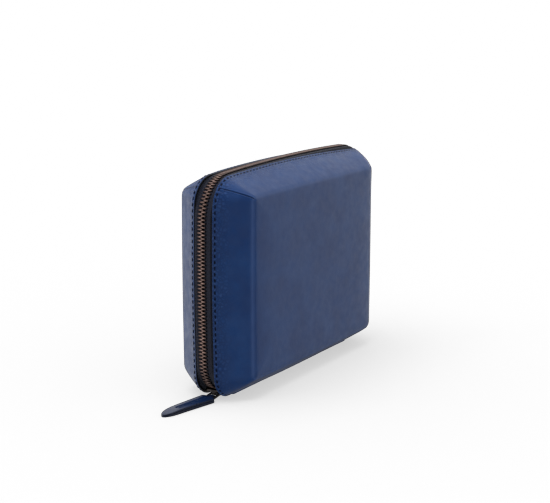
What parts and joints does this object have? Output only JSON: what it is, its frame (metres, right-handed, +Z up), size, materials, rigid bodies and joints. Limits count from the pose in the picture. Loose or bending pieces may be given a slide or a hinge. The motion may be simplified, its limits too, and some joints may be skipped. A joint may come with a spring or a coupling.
{
  "type": "leather jewellery case",
  "caption": "Bevelled leather travel case with a zip-around edge, folding open on a spine strip to a padded ring and jewellery tray that faces a mirror and pocket.",
  "frame": {"origin": "centre of the underside of the spine strip, which the closed case stands on", "axes": "+X along the spine, +Y from the front cover to the back cover, +Z up when the case stands on its spine"},
  "size_m": [0.2262, 0.051, 0.141],
  "materials": {
    "cover_leather": "smooth semi-matt dyed leather, bevels finely grained near the zip",
    "spine_leather": "smooth dyed leather",
    "pull_leather": "smooth dyed leather, polished edges",
    "board": "grey stiffening board",
    "lining": "brushed suede-like lining",
    "padding": "brushed suede-like cloth over foam",
    "pocket_cloth": "brushed suede-like cloth",
    "elastic": "ribbed woven elastic",
    "zip_tape": "tight herringbone woven tape",
    "zip_metal": "antique copper, worn on the crests",
    "slider_metal": "dark gunmetal plating",
    "thread": "bonded polyester thread",
    "mirror_glass": "silvered glass"
  },
  "bodies": {
    "spine": {"spine_leather": "spine_leather", "spine_lining": "lining", "zip_bottom_stop": "zip_metal"},
    "front_half": {"front_leather": "cover_leather", "front_board": "board", "front_lining": "lining", "front_zip_tape": "zip_tape", "front_zip_teeth": "zip_metal", "front_top_stop": "zip_metal", "front_stitching": "thread", "mirror_frame": "cover_leather", "mirror_glass": "mirror_glass", "pocket_panel": "pocket_cloth", "pocket_elastic": "elastic"},
    "back_half": {"back_leather": "cover_leather", "back_board": "board", "back_lining": "lining", "back_zip_tape": "zip_tape", "back_zip_teeth": "zip_metal", "back_top_stop": "zip_metal", "back_stitching": "thread", "ring_rolls": "padding", "ring_roll_base": "lining", "long_divider": "padding", "cross_divider": "padding", "short_divider": "padding"},
    "slider": {"slider_body": "slider_metal", "slider_bridge": "slider_metal"},
    "pull_link": {"pull_link": "slider_metal"},
    "pull_tab": {"tab_lower": "pull_leather", "tab_upper": "pull_leather"}
  },
  "joints": [
    {"name": "front_fold", "type": "hinge", "parent": "spine", "child": "front_half", "pos_m": [0, -0.0065, 0], "axis": [1, 0, 0], "range_deg": [0, 90], "deforming": ["front_zip_tape", "front_zip_teeth"]},
    {"name": "back_fold", "type": "hinge", "parent": "spine", "child": "back_half", "pos_m": [0, 0.0065, 0], "axis": [-1, 0, 0], "range_deg": [0, 90], "deforming": ["back_zip_tape", "back_zip_teeth"]},
    {"name": "slider_travel", "type": "hinge", "parent": "spine", "child": "slider", "pos_m": [-0.07528, 0, 0.0246], "axis": [0, 1, 0], "range_deg": [0, 70]},
    {"name": "link_swing", "type": "hinge", "parent": "slider", "child": "pull_link", "pos_m": [-0.0799, 0, 0.00275], "axis": [0, 1, 0], "range_deg": [-60, 10]},
    {"name": "tab_swing", "type": "hinge", "parent": "pull_link", "child": "pull_tab", "pos_m": [-0.088, 0, 0.00155], "axis": [0, 1, 0], "range_deg": [-60, 0]}
  ]
}
